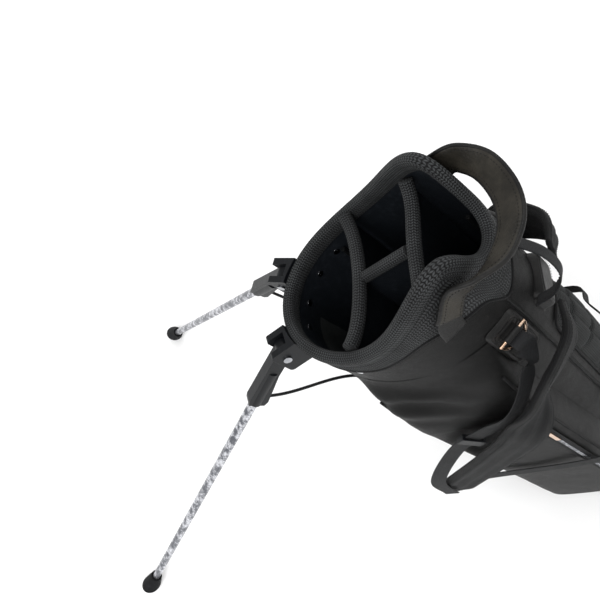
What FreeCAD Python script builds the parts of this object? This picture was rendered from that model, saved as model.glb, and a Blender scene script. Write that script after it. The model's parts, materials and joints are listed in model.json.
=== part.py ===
"""Golf stand bag, standing on its opened legs. Parametric FreeCAD document, millimetres.

Bag frame, used for nearly every piece: X across the bag (the golfer's left is +X), -Y to the front where
the legs are, Z along the bag's own axis from its base to its mouth. place_bag() leans that frame forward
over the legs, so that the rocker foot's sole lies on Z = 0 of the part's frame.
"""

import math
import os

import FreeCAD
import Part

Vector = FreeCAD.Vector
Rotation = FreeCAD.Rotation
Placement = FreeCAD.Placement
X_AXIS, Y_AXIS, Z_AXIS = Vector(1, 0, 0), Vector(0, 1, 0), Vector(0, 0, 1)
ORIGIN = Vector(0, 0, 0)
SIDES = {"left": 1, "right": -1}

SIZES = [
    ("lean_angle", 30),  # the bag's axis from the vertical
    ("sole_centre", 65),  # from the bag frame's origin forward to the middle of the rocker foot's sole
    ("leg_swing", 59.6),  # from folded along the bag to the open stop
    ("leg_yaw", 18.6),  # each swing plane turns outward by this
    ("wall", 3),
    ("air_gap", 0.3),
    # moulded base cup and its rocker foot
    ("cup_half_x", 96),
    ("cup_half_y", 108),
    ("cup_bottom", -5),
    ("cup_top", 125),
    ("cup_floor", 20),
    ("hinge_y", 12),
    ("hinge_z", 6),
    ("hinge_half_length", 60),
    ("hinge_barrel_r", 7.5),
    ("hinge_pin_r", 3),
    ("plate_top", 10),
    ("sole_thick", 3),
    ("tab_half_x", 26),
    ("tab_front", 120),
    # soft body and the rigid collar inside its mouth
    ("shell_bottom", 60),
    ("shell_straight", 740),
    ("shell_low_x", 99.5),
    ("shell_low_y", 111.5),
    ("shell_high_x", 104),
    ("shell_high_y", 140),
    ("shell_thick", 2.5),
    ("collar_bottom", 735),
    ("collar_half_x", 101),
    ("collar_half_y", 137),
    ("rim_out_x", 106),
    ("rim_out_y", 143),
    ("rim_in_x", 94.5),
    ("rim_in_y", 131.5),
    ("rim_depth", 30),
    # the mouth's edge in side view
    ("rim_front_z", 815),
    ("rim_mid_y", 25),
    ("rim_mid_z", 856),
    ("rim_wing_y", 109),
    ("rim_wing_z", 900),
    ("rim_back_z", 828),
    # dividers
    ("divider_front_y", -50),
    ("divider_front_bow", 24),
    ("divider_back_y", 80),
    ("divider_back_bow", -20),
    ("divider_roll_r", 8),
    ("divider_thick", 3),
    ("divider_bottom", 130),
    ("divider_front_top", 826),
    ("divider_back_top", 850),
    # legs
    ("pivot_x", 51),
    ("pivot_y", -149),
    ("pivot_z", 802),
    ("pivot_pin_r", 3.5),
    ("knuckle_r", 11),
    ("knuckle_half", 8),
    ("arm_length", 118),
    ("tube_r", 6.5),
    ("tube_wall", 1),
    ("tube_start", 60),
    ("boot_r", 14),
    ("boot_length", 34),
    # push rods
    ("rod_r", 2.2),
    ("rod_x", 34),
    ("rod_low_z", 92),
    ("rod_high_z", 600),
    ("rod_gap", 6),
    # pockets and zips
    ("pocket_face", 122),
    ("pocket_low", 130),
    ("pocket_high", 600),
    ("pocket_top", 730),
    ("pocket_front", -90),
    ("pocket_back", 85),
    ("pocket_round", 14),
    ("zip_y", 62),
    ("zip_width", 16),
    ("zip_thick", 1.2),
    ("slider_width", 8),
    ("slider_length", 14),
    # rings and straps
    ("ring_bar_r", 2),
    ("ring_half", 19),
    ("webbing_width", 30),
    ("webbing_thick", 2),
    ("pad_width", 56),
    ("pad_thick", 12),
    ("handle_width", 32),
    ("handle_thick", 8),
]

doc = FreeCAD.newDocument("golf_stand_bag")
sheet = doc.addObject("Spreadsheet::Sheet", "Sizes")
for row, (alias, value) in enumerate(SIZES, start=1):
    sheet.set(f"A{row}", alias)
    sheet.set(f"B{row}", str(value))
    sheet.setAlias(f"B{row}", alias)
doc.recompute()

parts = {}


def size(alias):
    return float(sheet.get(alias))


def bind(obj, **cells):
    """Binds properties to sheet expressions. A double underscore stands for a dot in the property's path."""
    for name, expression in cells.items():
        path = name.replace("__", ".")
        words = expression
        for alias, _ in sorted(SIZES, key=lambda pair: -len(pair[0])):
            words = words.replace(f"[{alias}]", f"Sizes.{alias}")
        obj.setExpression(path, words)
    return obj


def at(x=0.0, y=0.0, z=0.0, axis=Z_AXIS, angle=0.0):
    return Placement(Vector(x, y, z), Rotation(axis, angle))


def place_bag():
    return Placement(Vector(0, size("sole_centre"), 0), Rotation(X_AXIS, size("lean_angle")))


def place_leg(side):
    """From a leg's own frame, where it hangs down -Z and swings out to -Y, to where it stands opened."""
    pivot = at(side * size("pivot_x"), size("pivot_y"), size("pivot_z"), Z_AXIS, side * size("leg_yaw"))
    return place_bag().multiply(pivot).multiply(at(axis=X_AXIS, angle=-size("leg_swing")))


def place_bracket(side):
    """The same frame with the leg folded, in which the bracket and its pin are drawn."""
    return at(side * size("pivot_x"), size("pivot_y"), size("pivot_z"), Z_AXIS, side * size("leg_yaw"))


def raw(name, shape, placement=None):
    """A Part::Feature holding a shape made by Part's own functions."""
    obj = doc.addObject("Part::Feature", name)
    obj.Shape = shape
    if placement:
        obj.Placement = placement
    return obj


def box(name, x, y, z, placement=None):
    """A box between pairs of low and high expressions along each axis."""
    obj = doc.addObject("Part::Box", name)
    if placement:
        obj.Placement = placement
        return bind(
            obj, Length=f"({x[1]}) - ({x[0]})", Width=f"({y[1]}) - ({y[0]})",
            Height=f"({z[1]}) - ({z[0]})"
        )
    return bind(
        obj,
        Length=f"({x[1]}) - ({x[0]})",
        Width=f"({y[1]}) - ({y[0]})",
        Height=f"({z[1]}) - ({z[0]})",
        Placement__Base__x=x[0],
        Placement__Base__y=y[0],
        Placement__Base__z=z[0],
    )


def rod(name, radius, length, placement):
    """A cylinder along the placement's Z axis."""
    obj = doc.addObject("Part::Cylinder", name)
    obj.Placement = placement
    return bind(obj, Radius=radius, Height=length)


def oval(name, height, half_x, half_y):
    """An ellipse at a height, its longer half axis along Y."""
    obj = doc.addObject("Part::Ellipse", name)
    obj.Placement = at(axis=Z_AXIS, angle=90)
    return bind(obj, MajorRadius=half_y, MinorRadius=half_x, Placement__Base__z=height)


def oval_solid(name, *stations):
    """A solid through ovals, each (height, half width, half depth) in expressions."""
    obj = doc.addObject("Part::Loft", name)
    obj.Sections = [oval(f"{name}_oval_{n}", *station) for n, station in enumerate(stations)]
    obj.Solid = True
    obj.Ruled = True
    return obj


def cut(name, base, tool):
    obj = doc.addObject("Part::Cut", name)
    obj.Base, obj.Tool = base, tool
    return obj


def common(name, base, tool):
    obj = doc.addObject("Part::Common", name)
    obj.Base, obj.Tool = base, tool
    return obj


def fuse(name, *shapes):
    obj = doc.addObject("Part::MultiFuse", name)
    obj.Shapes = list(shapes)
    return obj


def group(name, *members):
    obj = doc.addObject("Part::Compound", name)
    obj.Links = list(members)
    return obj


def keep(label, obj, placement=None):
    """Names a finished sub-part and puts it where it stands."""
    obj.Label = label
    obj.Placement = placement.multiply(obj.Placement) if placement else obj.Placement
    parts[label] = obj
    return obj


def keep_on_bag(label, obj):
    return keep(label, obj, place_bag())


# ---------------------------------------------------------------- the mouth's edge


def rim_curve(drop):
    """The mouth's edge in side view, lowered by drop: rising to the two wings, then dipping at the handle."""
    edge_y = size("rim_out_y")
    points = [
        Vector(0, -edge_y - 40, size("rim_front_z") - 8 - drop),
        Vector(0, -edge_y, size("rim_front_z") - drop),
        Vector(0, size("rim_mid_y"), size("rim_mid_z") - drop),
        Vector(0, size("rim_wing_y"), size("rim_wing_z") - drop),
        Vector(0, edge_y - 8, size("rim_back_z") + 6 - drop),
        Vector(0, edge_y + 40, size("rim_back_z") - 10 - drop),
    ]
    curve = Part.BSplineCurve()
    curve.interpolate(points)
    return curve.toShape(), points[0], points[-1]


def under_rim(name, drop, bottom):
    """Everything from a height up to the lowered edge."""
    edge, first, last = rim_curve(drop)
    low = Part.makePolygon([last, Vector(0, last.y, bottom), Vector(0, first.y, bottom), first])
    face = Part.Face(Part.Wire([edge] + low.Edges))
    half = size("rim_out_x") + 40
    face.translate(Vector(-half, 0, 0))
    return raw(name, face.extrude(Vector(2 * half, 0, 0)))


def ring(name, low, high, inner, outer):
    """An oval ring between two heights, from (half x, half y) pairs of expressions."""
    outside = oval_solid(name + "_out", (low, *outer), (high, *outer))
    inside = oval_solid(name + "_in", (f"({low}) - 5", *inner), (f"({high}) + 5", *inner))
    return cut(name + "_ring", outside, inside)


def shell_ovals(name, grow):
    """The soft body's outside, grown by a number of millimetres."""
    low = ("[shell_bottom]", f"[shell_low_x] + {grow}", f"[shell_low_y] + {grow}")
    bend = ("[shell_straight]", f"[shell_high_x] + {grow}", f"[shell_high_y] + {grow}")
    top = ("[rim_wing_z] + 60", f"[shell_high_x] + {grow}", f"[shell_high_y] + {grow}")
    return oval_solid(name, low, bend, top)


def make_mouth():
    collar = ring(
        "collar",
        "[collar_bottom]",
        "[rim_wing_z] + 20",
        ("[collar_half_x] - [wall]", "[collar_half_y] - [wall]"),
        ("[collar_half_x]", "[collar_half_y]"),
    )
    below = under_rim("collar_limit", size("rim_depth") + size("air_gap"), size("collar_bottom") - 5)
    keep_on_bag("top_collar", common("collar_cut", collar, below))

    cushion = ring(
        "cushion",
        "[rim_back_z] - 80",
        "[rim_wing_z] + 20",
        ("[rim_in_x]", "[rim_in_y]"),
        ("[rim_out_x]", "[rim_out_y]"),
    )
    under = under_rim("cushion_limit", 0, 700)
    over = under_rim("cushion_base", size("rim_depth"), 690)
    keep_on_bag("rim_cushion", cut("cushion_cut", common("cushion_top", cushion, under), over))


def make_body_shell():
    outside = shell_ovals("shell_out", 0)
    inside = oval_solid(
        "shell_in",
        ("[shell_bottom] - 1", "[shell_low_x] - [shell_thick]", "[shell_low_y] - [shell_thick]"),
        ("[shell_straight]", "[shell_high_x] - [shell_thick]", "[shell_high_y] - [shell_thick]"),
        ("[rim_wing_z] + 61", "[shell_high_x] - [shell_thick]", "[shell_high_y] - [shell_thick]"),
    )
    tube = cut("shell_tube", outside, inside)
    below = under_rim("shell_limit", size("rim_depth") + size("air_gap"), 85)
    keep_on_bag("body_shell", common("shell_cut", tube, below))


# ---------------------------------------------------------------- dividers


def arc_edge(end_y, bow, half, z, offset):
    """A cross divider's line in plan: from wall to wall through a bowed middle."""
    sign = 1 if bow > 0 else -1
    middle = Vector(0, end_y + bow + offset, z)
    left = Vector(-half, end_y + offset, z)
    right = Vector(half, end_y + offset, z)
    radius = (half * half + bow * bow) / (2 * abs(bow))
    centre = Vector(0, end_y + bow - sign * radius, z)
    grow = (radius + sign * offset) / radius
    return Part.Arc(
        *[centre + (p - Vector(0, offset, 0) - centre) * grow for p in (left, middle, right)]
    ).toShape()


def make_cross_divider(word, end_y, bow, top):
    half, thick = size("rim_in_x") + 30, size("divider_thick")
    low = size("divider_bottom")
    roll_r = size("divider_roll_r")
    near = arc_edge(end_y, bow, half, low, -thick / 2)
    far = arc_edge(end_y, bow, half, low, thick / 2)
    ends = [
        Part.makeLine(near.Vertexes[n].Point, far.Vertexes[n].Point)
        for n in range(2)
    ]
    face = Part.Face(Part.Wire(Part.__sortEdges__([near, far, *ends])))
    sheet_solid = raw(f"{word}_sheet", face.extrude(Vector(0, 0, top - 2 * roll_r - 0.3 - low)))
    lining = oval_solid(
        f"{word}_lining",
        ("[cup_top]", "[cup_half_x] - [wall] - 2", "[cup_half_y] - [wall] - 2"),
        ("[shell_straight] - 10", "[collar_half_x] - [wall] - 1", "[collar_half_y] - [wall] - 1"),
        ("[shell_straight] + 42", "[collar_half_x] - [wall] - 1", "[collar_half_y] - [wall] - 1"),
        ("[shell_straight] + 52", "[rim_in_x] - [air_gap]", "[rim_in_y] - [air_gap]"),
        ("[rim_wing_z]", "[rim_in_x] - [air_gap]", "[rim_in_y] - [air_gap]"),
    )
    keep_on_bag(f"divider_{word}_panel", common(f"{word}_panel", sheet_solid, lining))

    line = arc_edge(end_y, bow, half, top - roll_r, 0)
    start = line.Vertexes[0].Point
    circle = Part.makeCircle(roll_r, start, line.tangentAt(line.FirstParameter))
    pipe = Part.Wire([line]).makePipeShell([Part.Wire([circle])], True, False)
    inside = oval_solid(
        f"{word}_mouth",
        ("[collar_bottom]", "[rim_in_x] - [air_gap]", "[rim_in_y] - [air_gap]"),
        ("[rim_wing_z] + 10", "[rim_in_x] - [air_gap]", "[rim_in_y] - [air_gap]"),
    )
    keep_on_bag(f"divider_{word}_roll", common(f"{word}_roll", raw(f"{word}_pipe", pipe), inside))


def make_centre_divider():
    """A short divider along the bag's middle that joins the two cross dividers."""
    front = size("divider_front_y") + size("divider_front_bow")
    back = size("divider_back_y") + size("divider_back_bow")
    gap = size("divider_roll_r") + size("air_gap")
    low_top, high_top = size("divider_front_top"), size("divider_back_top")
    roll_r = size("divider_roll_r")
    thick = size("divider_thick")
    panel_gap = thick / 2 + size("air_gap")
    profile = Part.makePolygon(
        [
            Vector(0, front + panel_gap, size("divider_bottom")),
            Vector(0, back - panel_gap, size("divider_bottom")),
            Vector(0, back - panel_gap, low_top - 2 * roll_r - 6),
            Vector(0, front + panel_gap, low_top - 2 * roll_r - 6),
            Vector(0, front + panel_gap, size("divider_bottom")),
        ]
    )
    face = Part.Face(profile)
    face.translate(Vector(-thick / 2, 0, 0))
    keep_on_bag("divider_centre_panel", raw("centre_panel", face.extrude(Vector(thick, 0, 0))))

    start = Vector(0, front + gap, low_top - roll_r)
    end = Vector(0, back - gap, high_top - roll_r)
    run = end - start
    pipe = Part.makeCylinder(roll_r - 1, run.Length, start, run)
    keep_on_bag("divider_centre_roll", raw("centre_roll", pipe))


# ---------------------------------------------------------------- base cup and rocker foot


def floor_box(name, low, high):
    """A wide box between two heights above the floor, drawn in the bag frame."""
    shape = Part.makeBox(500, 500, high - low, Vector(-250, -250, low))
    shape.Placement = place_bag().inverse().multiply(shape.Placement)
    return raw(name, shape)


def make_base_cup():
    cup_out = oval_solid(
        "cup_out",
        ("[cup_bottom]", "[cup_half_x]", "[cup_half_y]"),
        ("[cup_top]", "[cup_half_x]", "[cup_half_y]"),
    )
    cup_in = oval_solid(
        "cup_in",
        ("[cup_floor]", "[cup_half_x] - [wall] - 1", "[cup_half_y] - [wall] - 1"),
        ("[cup_top] + 5", "[cup_half_x] - [wall] - 1", "[cup_half_y] - [wall] - 1"),
    )
    chamfer = common(
        "cup_chamfer",
        floor_box("floor_slab", -200, size("plate_top") + 1),
        box("front_half", ("-150", "150"), ("-200", "[hinge_y]"), ("-60", "200")),
    )
    hollow = cut("cup_hollow", cup_in, floor_box("floor_skin", -200, size("plate_top") + 6))
    groove = rod(
        "hinge_groove",
        "[hinge_barrel_r] + 0.6",
        "2 * [hinge_half_length] + 1",
        at(-size("hinge_half_length") - 0.5, size("hinge_y"), size("hinge_z"), Y_AXIS, 90),
    )
    pin_hole = rod(
        "hinge_hole",
        "[hinge_pin_r]",
        "2 * [hinge_half_length] + 24",
        at(-size("hinge_half_length") - 12, size("hinge_y"), size("hinge_z"), Y_AXIS, 90),
    )
    walls = cut("cup_walls", cup_out, fuse("cup_openings", chamfer, hollow, groove, pin_hole))
    keep_on_bag("base_cup", walls)

    pin = rod(
        "hinge_pin",
        "[hinge_pin_r]",
        "2 * [hinge_half_length] + 23",
        at(-size("hinge_half_length") - 11.5, size("hinge_y"), size("hinge_z"), Y_AXIS, 90),
    )
    keep_on_bag("foot_hinge_pin", pin)


def make_rocker_foot():
    """The plate that the ground pushes up into the base, and the rubber sole under it."""
    outline = oval_solid(
        "foot_outline",
        ("-80", "[cup_half_x] - 1", "[cup_half_y] - 1"),
        ("[cup_top]", "[cup_half_x] - 1", "[cup_half_y] - 1"),
    )
    front = box("foot_front", ("-150", "150"), ("-200", "[hinge_y] - 7"), ("-60", "200"))
    tab = box("foot_tab", ("-[tab_half_x]", "[tab_half_x]"), ("-[tab_front]", "-60"), ("-20", "180"))
    plan = fuse("foot_plan", common("foot_half", outline, front), tab)
    slab = common("foot_slab", plan, floor_box("plate_layer", size("sole_thick"), size("plate_top")))
    barrel = rod(
        "foot_barrel",
        "[hinge_barrel_r]",
        "2 * [hinge_half_length]",
        at(-size("hinge_half_length"), size("hinge_y"), size("hinge_z"), Y_AXIS, 90),
    )
    bore = rod(
        "foot_bore",
        "[hinge_pin_r] + 0.05",
        "2 * [hinge_half_length] + 2",
        at(-size("hinge_half_length") - 1, size("hinge_y"), size("hinge_z"), Y_AXIS, 90),
    )
    relief = common(
        "foot_relief",
        box("relief_box", ("-150", "150"), ("-14", "60"), ("-40", "60")),
        cut(
            "relief_ends",
            box("relief_wide", ("-150", "150"), ("-14", "60"), ("-40", "60")),
            box("relief_keep", ("-[hinge_half_length]", "[hinge_half_length]"), ("-20", "70"), ("-50", "70")),
        ),
    )
    keep_on_bag(
        "foot_plate",
        cut("plate_cut", fuse("plate_fuse", slab, barrel), fuse("plate_holes", bore, relief))
    )

    sole_plan = common(
        "sole_half", outline, box("sole_front", ("-150", "150"), ("-200", "-6"), ("-60", "200"))
    )
    keep_on_bag("foot_sole", common("sole", sole_plan, floor_box("sole_layer", 0, size("sole_thick"))))


# ---------------------------------------------------------------- push rods


def rod_direction():
    """Up the front of the soft body, which widens towards the mouth."""
    rise = size("shell_straight") - size("shell_bottom")
    return Vector(0, -(size("shell_high_y") - size("shell_low_y")) / rise, 1).normalize()


def rod_point(x, z):
    """A point on a push rod's axis at a height."""
    share = (z - size("shell_bottom")) / (size("shell_straight") - size("shell_bottom"))
    front = size("shell_low_y") + share * (size("shell_high_y") - size("shell_low_y"))
    return Vector(x, -front - size("rod_gap"), z)


def make_push_rods():
    up = rod_direction()
    low, high = size("rod_low_z"), size("rod_high_z")
    rods = []
    for word, side in SIDES.items():
        foot = rod_point(side * size("rod_x"), low)
        length = (high - low) / up.z
        rods.append(raw(f"rod_{word}", Part.makeCylinder(size("rod_r"), length, foot, up)))
    keep_on_bag("push_rods", group("push_rod_pair", *rods))

    base = rod_point(0, low)
    half_x, half_y = size("rod_x") + 8, 5
    block = Part.makeBox(2 * half_x, 2 * half_y, 16, Vector(-half_x, base.y - half_y, low - 8))
    nose = Part.makeCylinder(4.5, 40, Vector(-20, base.y, low - 6.5), X_AXIS)
    shoe = block.fuse(nose).removeSplitter()
    for side in SIDES.values():
        foot = rod_point(side * size("rod_x"), low)
        shoe = shoe.cut(Part.makeCylinder(size("rod_r"), 40, foot, up))
    keep_on_bag("push_shoe", raw("shoe", shoe))


def make_rod_guide(word, low, high):
    """A moulded channel on the front of the body, with a bore for each rod."""
    up = rod_direction()
    middle = (low + high) / 2
    axis_y = rod_point(0, middle).y
    half_x = size("rod_x") + 9
    block = Part.makeBox(2 * half_x, 24, high - low, Vector(-half_x, axis_y - 5.5, low))
    tilt = math.degrees(math.atan2(-up.y, up.z))
    block.rotate(Vector(0, axis_y, middle), X_AXIS, tilt)
    guide = cut(
        f"guide_{word}_seat", raw(f"guide_{word}_block", block), shell_ovals(f"guide_{word}_body", 0.2)
    )
    bores = []
    for name, side in SIDES.items():
        start = rod_point(side * size("rod_x"), low - 20)
        bores.append(raw(f"guide_{word}_bore_{name}", Part.makeCylinder(size("rod_r") + 0.3, high - low + 40, start, up)))
    keep_on_bag(f"rod_guide_{word}", cut(f"guide_{word}", guide, fuse(f"guide_{word}_bores", *bores)))


# ---------------------------------------------------------------- legs


def make_bracket(word, side):
    """A moulded hinge mount, screwed to the front of the collar, with two ears around the leg's knuckle."""
    ear = size("knuckle_half") + 9
    slot = size("knuckle_half") + 0.4
    block = Part.makeBox(2 * ear, 64, 44, Vector(-ear, -13, -26))
    block = block.makeFillet(
        5, [e for e in block.Edges if abs(e.tangentAt(e.FirstParameter).x) > 0.9 and e.CenterOfMass.y < 0]
    )
    block = block.cut(Part.makeBox(2 * slot, 28, 60, Vector(-slot, -14, -40)))
    block = block.cut(Part.makeCylinder(size("pivot_pin_r"), 2 * ear + 2, Vector(-ear - 1, 0, 0), X_AXIS))
    block.Placement = place_bracket(side).multiply(block.Placement)
    body = shell_ovals(f"bracket_{word}_body", 0.2)
    edge = oval_solid(
        f"bracket_{word}_edge",
        ("[rim_front_z] - 60", "[rim_out_x] + [air_gap]", "[rim_out_y] + [air_gap]"),
        ("[rim_front_z] + 60", "[rim_out_x] + [air_gap]", "[rim_out_y] + [air_gap]"),
    )
    seat = fuse(f"bracket_{word}_seat", body, edge)
    keep_on_bag(f"leg_bracket_{word}", cut(f"bracket_{word}", raw(f"bracket_{word}_block", block), seat))

    reach = ear + 0.1
    pin = Part.makeCylinder(size("pivot_pin_r"), 2 * reach, Vector(-reach, 0, 0), X_AXIS)
    for start in (-reach - 2, reach):
        pin = pin.fuse(Part.makeCylinder(size("pivot_pin_r") + 2, 2, Vector(start, 0, 0), X_AXIS))
    pin = pin.removeSplitter()
    pin.Placement = place_bracket(side)
    keep_on_bag(f"leg_pin_{word}", raw(f"pin_{word}", pin))


def leg_reach(side):
    """The length of the leg's axis from its pivot to the floor."""
    place = place_leg(side)
    pivot = place.multVec(ORIGIN)
    down = place.Rotation.multVec(Vector(0, 0, -1))
    return -pivot.z / down.z


def make_leg(word, side):
    place = place_leg(side)
    length = size("arm_length")
    knuckle = Part.makeCylinder(
        size("knuckle_r"), 2 * size("knuckle_half"), Vector(-size("knuckle_half"), 0, 0), X_AXIS
    )
    outline = Part.makePolygon(
        [
            Vector(0, -10, -4),
            Vector(0, 10, -4),
            Vector(0, 9, -50),
            Vector(0, 15, -length + 8),
            Vector(0, 12, -length),
            Vector(0, -10, -length),
            Vector(0, -12, -length + 8),
            Vector(0, -10, -4),
        ]
    )
    web = Part.Face(outline)
    web.translate(Vector(-size("knuckle_half"), 0, 0))
    arm = knuckle.fuse(web.extrude(Vector(2 * size("knuckle_half"), 0, 0)))
    socket = Part.makeCylinder(size("tube_r") + 3.5, length - 46, Vector(0, 0, -length), Z_AXIS)
    arm = arm.fuse(socket).removeSplitter()
    arm = arm.cut(Part.makeCylinder(size("pivot_pin_r") + 0.05, 40, Vector(-20, 0, 0), X_AXIS))
    arm = arm.cut(
        Part.makeCylinder(size("tube_r"), length - size("tube_start"), Vector(0, 0, -length), Z_AXIS)
    )
    keep(f"leg_arm_{word}", raw(f"arm_{word}", arm), place)

    reach = leg_reach(side)
    tube_end = reach - 16
    tube = Part.makeCylinder(size("tube_r"), tube_end - size("tube_start"), Vector(0, 0, -tube_end), Z_AXIS)
    core = Part.makeCylinder(
        size("tube_r") - size("tube_wall"), tube_end, Vector(0, 0, -tube_end - 1), Z_AXIS
    )
    keep(f"leg_tube_{word}", raw(f"tube_{word}", tube.cut(core)), place)

    boot = Part.makeCone(
        size("boot_r") + 5, size("boot_r") - 4, size("boot_length") + 20, Vector(0, 0, -reach - 20),
        Z_AXIS
    )
    boot = boot.cut(Part.makeCylinder(size("tube_r"), 200, Vector(0, 0, -tube_end), Z_AXIS))
    boot.Placement = place
    ground = Part.makeBox(4000, 4000, 200, Vector(-2000, -2000, -200))
    keep(f"leg_boot_{word}", raw(f"boot_{word}", boot.cut(ground)))


def make_spring_wire(word, side):
    """The springy wire between the guide's top and the leg arm's lower end."""
    place = place_bag().inverse().multiply(place_leg(side))
    end = place.multVec(Vector(-side * 4, 15.5 + size("rod_r"), -size("arm_length") + 12))
    start = rod_point(side * size("rod_x"), 622)
    up = rod_direction()
    points = [start, start + up * 40, end + Vector(-side * 12, 52, -34), end]
    edges = tangent_path(points, 0.45)
    wire = Part.Wire(edges)
    circle = Part.makeCircle(size("rod_r"), start, up)
    pipe = wire.makePipeShell([Part.Wire([circle])], True, False)
    keep_on_bag(f"spring_wire_{word}", raw(f"wire_{word}", pipe))


def tangent_path(points, share):
    """Straight runs joined by tangent arcs, each arc as large as its two runs allow."""
    edges, cursor = [], points[0]
    for before, corner, after in zip(points, points[1:], points[2:]):
        back = (before - corner).normalize()
        ahead = (after - corner).normalize()
        run = share * min((before - corner).Length, (after - corner).Length)
        first, last = corner + back * run, corner + ahead * run
        bisector = (back + ahead).normalize()
        half_angle = back.getAngle(ahead) / 2
        radius = run * math.tan(half_angle)
        middle = corner + bisector * (radius / math.sin(half_angle) - radius)
        edges += [Part.makeLine(cursor, first), Part.Arc(first, middle, last).toShape()]
        cursor = last
    return edges + [Part.makeLine(cursor, points[-1])]


# ---------------------------------------------------------------- pockets, zips, spine


def make_pocket(word, side):
    """A side pocket with a flat outer face, closed by a zip."""
    face, root = side * size("pocket_face"), side * 60
    low, high, top = size("pocket_low"), size("pocket_high"), size("pocket_top")
    corners = [(root, low), (face, low + 12), (face, high), (side * 98, top), (root, top), (root, low)]
    profile = Part.Face(Part.makePolygon([Vector(x, size("pocket_front"), z) for x, z in corners]))
    shape = profile.extrude(Vector(0, size("pocket_back") - size("pocket_front"), 0))
    edges = [e for e in shape.Edges if abs(e.CenterOfMass.x) > 104 and abs(e.CenterOfMass.y) > 60]
    edges = [e for e in shape.Edges if abs(e.CenterOfMass.x) > 115 or e in edges]
    rounded = raw(f"pocket_{word}_rounded", shape.makeFillet(size("pocket_round"), edges))
    keep_on_bag(
        f"side_pocket_{word}", cut(f"pocket_{word}", rounded, shell_ovals(f"pocket_{word}_body", 0.2))
    )

    face = size("pocket_face")
    thick, width = size("zip_thick"), size("zip_width")
    low, high = size("pocket_low") + 30, size("pocket_high") - 60
    tape_x = face if side > 0 else -face - thick
    tape = Part.makeBox(thick, width, high - low, Vector(tape_x, size("zip_y") - width / 2, low))
    keep_on_bag(f"zip_tape_{word}", raw(f"tape_{word}", tape))

    gap = face + thick + size("air_gap")
    wide, long = size("slider_width"), size("slider_length")
    top = high - 6
    slider_x = gap if side > 0 else -gap - 4
    body = Part.makeBox(4, wide, long, Vector(slider_x, size("zip_y") - wide / 2, top - long))
    pull_x = gap + 1 if side > 0 else -gap - 3
    pull = Part.makeBox(2, 6, 30, Vector(pull_x, size("zip_y") - 3, top - long - 30))
    keep_on_bag(f"zip_slider_{word}", raw(f"slider_{word}", body))
    keep_on_bag(f"zip_pull_{word}", raw(f"pull_{word}", pull))


def make_spine():
    """The padded back panel, and the block under the handle that the straps are sewn to."""
    panel = box("spine_block", ("-34", "34"), ("90", "[shell_high_y] + 12"), ("250", "640"))
    doc.recompute()
    tilt = math.degrees(math.atan2(-rod_direction().y, rod_direction().z))
    shape = panel.Shape.copy()
    shape.rotate(Vector(0, 120, 445), X_AXIS, -tilt)
    keep_on_bag("spine_pad", cut("spine_cut", raw("spine_turned", shape), shell_ovals("spine_body", 0.2)))
    hub = box("hub_block", ("-30", "30"), ("110", "[shell_high_y] + 7"), ("672", "712"))
    keep_on_bag("strap_hub", cut("hub_cut", hub, shell_ovals("hub_body", 0.2)))


def make_stay_rods():
    """Four springy rods inside the soft body hold the collar away from the base."""
    rods = []
    for n, turn in enumerate((51, 129, 215, 325)):
        angle = math.radians(turn)
        low = Vector(86 * math.cos(angle), 98 * math.sin(angle), 60)
        high = Vector(91 * math.cos(angle), 127 * math.sin(angle), 780)
        run = high - low
        rods.append(raw(f"stay_{n}", Part.makeCylinder(3, run.Length, low, run)))
    keep_on_bag("stay_rods", group("stay_rod_set", *rods))


# ---------------------------------------------------------------- handle, rings, straps


def ribbon(points, sideways, width, thick, straight=True):
    """A strap through points, each with its own sideways direction: straight between them, or smooth."""
    sections = []
    for n, (point, side) in enumerate(zip(points, sideways)):
        before, after = points[max(n - 1, 0)], points[min(n + 1, len(points) - 1)]
        along = (after - before).normalize()
        across = (side - along * side.dot(along)).normalize()
        out = along.cross(across)
        half, deep = across * (width / 2), out * (thick / 2)
        corners = [point + half + deep, point - half + deep, point - half - deep, point + half - deep]
        sections.append(Part.makePolygon([*corners, corners[0]]))
    return Part.makeLoft(sections, True, straight)


def make_handle():
    """A wide arched grip from wing to wing, behind the dip in the rim."""
    route = [(88.5, 88, 836), (78, 109, 862), (73, 132, 868), (56, 156, 864), (28, 170, 858), (0, 174, 855)]
    turns = [(0, 0.2, 1), (0.1, 0.25, 1), (0.45, 0.6, 1), (0.35, 0.94, 0.5), (0.17, 0.98, 0.35), (0, 1, 0.3)]
    points = [Vector(*p) for p in route] + [Vector(-x, y, z) for x, y, z in reversed(route[:-1])]
    sideways = [Vector(*t) for t in turns] + [Vector(-x, y, z) for x, y, z in reversed(turns[:-1])]
    keep_on_bag(
        "carry_handle",
        raw("handle", ribbon(points, sideways, size("handle_width"), size("handle_thick"), False))
    )


def d_ring(radius):
    """A D ring in its own frame: the straight bar along X at the origin, the bow hanging down -Z."""
    bar_r, half = size("ring_bar_r"), size("ring_half")
    bar = Part.makeCylinder(bar_r, 2 * half, Vector(-half, 0, 0), X_AXIS)
    bow = Part.makeTorus(half, bar_r, ORIGIN, Y_AXIS, -180, 180, 360)
    lower = Part.makeBox(4 * half, 4 * half, 2 * half, Vector(-2 * half, -2 * half, -2 * half))
    ends = [Part.makeSphere(bar_r, Vector(end * half, 0, 0)) for end in (-1, 1)]
    ring_solid = bow.common(lower).fuse([bar, *ends])
    return ring_solid.removeSplitter()


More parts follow.
